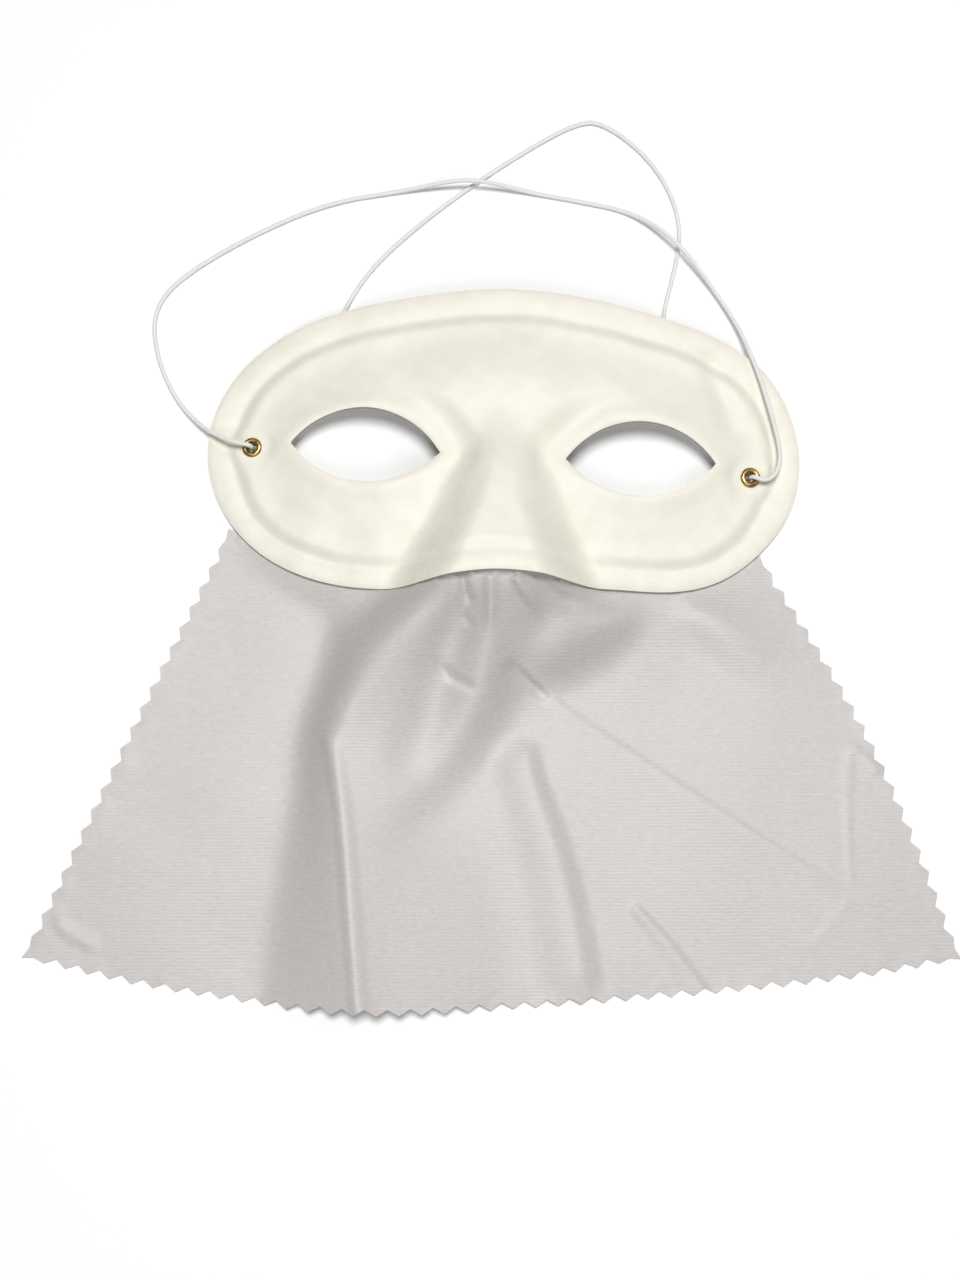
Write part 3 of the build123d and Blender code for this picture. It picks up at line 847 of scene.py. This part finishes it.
def elastic_points():
    """The cord's route, from one face of the knot right round to the other."""
    return [
        KNOT_CENTRE + KNOT_AXIS * (KNOT_LENGTH / 2),
        KNOT_CENTRE + KNOT_AXIS * 8.5,
        (*EYELETS[-1], 0.9),           # up through the left eyelet
        (*EYELETS[-1], 7.6),
        (-84.8, 0.2, 7.6),
        (-91, 2.4, 6.0),
        (-98.6, 7.2, 2.6),
        (-106.6, 15.6, 0.95),
        (-113.6, 29, TABLE_Z),
        (-116.3, 44, TABLE_Z),         # loop out beside the left temple
        (-109.3, 55.8, TABLE_Z),
        (-88, 71.2, TABLE_Z),
        (-62, 85, TABLE_Z),
        (-36, 90.6, TABLE_Z),
        (-20.5, 93.4, HUMP_Z),         # over the rear strand
        (-10.5, 93.6, HUMP_Z),
        (4, 92, TABLE_Z),
        (22, 89.6, TABLE_Z),
        (37.5, 87, TABLE_Z),
        (49.5, 78.8, HUMP_Z),          # over the rear strand again
        (57.5, 70.6, HUMP_Z),
        (66, 60.6, 2.2),
        (74, 48.4, 3.4),
        (80.2, 33, 6.6),               # over the edge of the mask
        (85.4, 17.4, 6.2),
        (88.4, 6.6, 5.6),
        (87.4, -0.4, 5.8),
        (83.6, -3.6, 7.2),
        (*EYELETS[1], 7.6),            # down through the right eyelet
        (*EYELETS[1], 0.9),
        (71.8, 4, 0.8),
        (60, 17, TABLE_Z),
        (51.5, 33.4, TABLE_Z),
        (49, 50, TABLE_Z),
        (53, 68, TABLE_Z),
        (54.6, 81.4, TABLE_Z),
        (50.6, 95, TABLE_Z),
        (41.4, 107.8, TABLE_Z),
        (27.2, 117.9, TABLE_Z),
        (18.6, 117.2, TABLE_Z),
        (2, 106.4, TABLE_Z),
        (-22, 87.8, TABLE_Z),
        (-43, 67.4, TABLE_Z),
        (-52.6, 52.4, TABLE_Z),
        (-58.4, 35.4, 0.9),
        KNOT_CENTRE - KNOT_AXIS * 11,
        KNOT_CENTRE - KNOT_AXIS * (KNOT_LENGTH / 2),
    ]


def tube(name, routes, radius, material):
    """Round cords on smooth curves, each route's points its control points."""
    curve = bpy.data.curves.new(name, "CURVE")
    curve.dimensions = "3D"
    curve.bevel_depth = radius * MM
    curve.bevel_resolution = 5
    curve.resolution_u = 12
    curve.use_fill_caps = True
    curve.materials.append(material)
    for route in routes:
        spline = curve.splines.new("NURBS")
        spline.points.add(len(route) - 1)
        for control, place in zip(spline.points, route):
            control.co = (*(Vector(place) * MM), 1)
        spline.order_u = 3
        spline.use_endpoint_u = True
    piece = bpy.data.objects.new(name, curve)
    bpy.context.collection.objects.link(piece)
    return piece


def knot_routes():
    """An overhand knot of the two ends, and the two cut tails beside it."""
    across = Vector((-KNOT_AXIS.y, KNOT_AXIS.x, 0))
    up = Vector((0, 0, 1))
    loops = []
    for k in range(33):
        t = 2 * math.pi * k / 32
        loops.append(
            KNOT_CENTRE + 0.55 * (math.sin(t) + 2 * math.sin(2 * t)) * KNOT_AXIS
            + 0.55 * (math.cos(t) - 2 * math.cos(2 * t)) * across - 0.62 * math.sin(3 * t) * up
        )
    tails = []
    for sign, reach in ((1, 9.0), (-1, 7.5)):
        tails.append([
            KNOT_CENTRE - 0.8 * KNOT_AXIS + 0.6 * sign * across,
            KNOT_CENTRE - 2.6 * KNOT_AXIS + 2.0 * sign * across - 0.4 * up,
            KNOT_CENTRE - (0.5 * reach) * KNOT_AXIS + 3.6 * sign * across - 0.95 * up,
            KNOT_CENTRE - 0.75 * reach * KNOT_AXIS + (3.2 + 0.35 * reach) * sign * across - up,
        ])
    return [loops] + tails


def make_elastic():
    knot = tube("elastic_knot_tied", knot_routes(), ELASTIC_DIAMETER / 2, ELASTIC)
    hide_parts("elastic_knot")
    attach(knot, "mask")
    cord = tube("elastic_loop", [elastic_points()], ELASTIC_DIAMETER / 2, ELASTIC)
    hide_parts("elastic_cord")
    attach(cord, "mask")


def finish_metal_and_glue(nodes):
    for name, material in (("eyelet_left", BRASS), ("eyelet_right", BRASS), ("glue_line", GLUE)):
        piece = nodes[name]
        piece.data.materials.clear()
        piece.data.materials.append(material)


# ---------------------------------------------------------------- stage

def make_floor():
    material, _, shader = new_material("pale_floor", (0.93, 0.93, 0.93), 0.9)
    shader.inputs["Specular IOR Level"].default_value = 0.0
    mesh = bpy.data.meshes.new("floor")
    half, z = FLOOR_HALF_WIDTH, -FLOOR_GAP
    corners = [(-half, -half, z), (half, -half, z), (half, half, z), (-half, half, z)]
    mesh.from_pydata(corners, [], [(0, 1, 2, 3)])
    mesh.materials.append(material)
    floor = bpy.data.objects.new("floor", mesh)
    bpy.context.collection.objects.link(floor)


def area_light(name, location, size, energy):
    light = bpy.data.lights.new(name, "AREA")
    light.shape = "DISK"
    light.size = size
    light.energy = energy
    lamp = bpy.data.objects.new(name, light)
    lamp.location = location
    aim = Vector((0, -0.05, 0)) - Vector(location)
    lamp.rotation_euler = aim.to_track_quat("-Z", "Y").to_euler()
    bpy.context.collection.objects.link(lamp)


def make_lights():
    area_light("key", (-0.02, 0.16, 1.5), 0.55, 18.5)
    area_light("front", (0, -0.9, 1.2), 0.7, 5.5)
    area_light("side", (0.9, 0.5, 1.0), 0.7, 2.5)
    world = bpy.data.worlds.new("studio")
    world.use_nodes = True
    world.node_tree.nodes["Background"].inputs["Color"].default_value = (1, 1, 1, 1)
    world.node_tree.nodes["Background"].inputs["Strength"].default_value = 0.06
    bpy.context.scene.world = world
    bpy.context.scene.view_settings.view_transform = "Standard"


def make_camera():
    azimuth, elevation = math.radians(CAMERA_AZIMUTH), math.radians(CAMERA_ELEVATION)
    back = Vector((
        math.sin(azimuth) * math.cos(elevation), -math.cos(azimuth) * math.cos(elevation),
        math.sin(elevation),
    ))
    data = bpy.data.cameras.new("camera")
    data.lens = CAMERA_LENS
    data.sensor_width = 36
    data.clip_start = 0.01
    camera = bpy.data.objects.new("camera", data)
    camera.location = (Vector(CAMERA_TARGET) + CAMERA_DISTANCE * back) * MM
    camera.rotation_euler = (-back).to_track_quat("-Z", "Y").to_euler()
    bpy.context.collection.objects.link(camera)
    bpy.context.scene.camera = camera


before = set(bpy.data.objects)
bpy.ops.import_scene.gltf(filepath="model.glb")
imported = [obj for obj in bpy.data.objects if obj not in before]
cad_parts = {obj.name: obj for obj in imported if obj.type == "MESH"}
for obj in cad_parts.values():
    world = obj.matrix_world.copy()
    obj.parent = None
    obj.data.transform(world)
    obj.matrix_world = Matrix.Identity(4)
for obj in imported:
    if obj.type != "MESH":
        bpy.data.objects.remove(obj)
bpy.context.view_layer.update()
make_camera()
make_elastic()
make_mask()
make_veil()
finish_metal_and_glue(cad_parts)
make_floor()
make_lights()
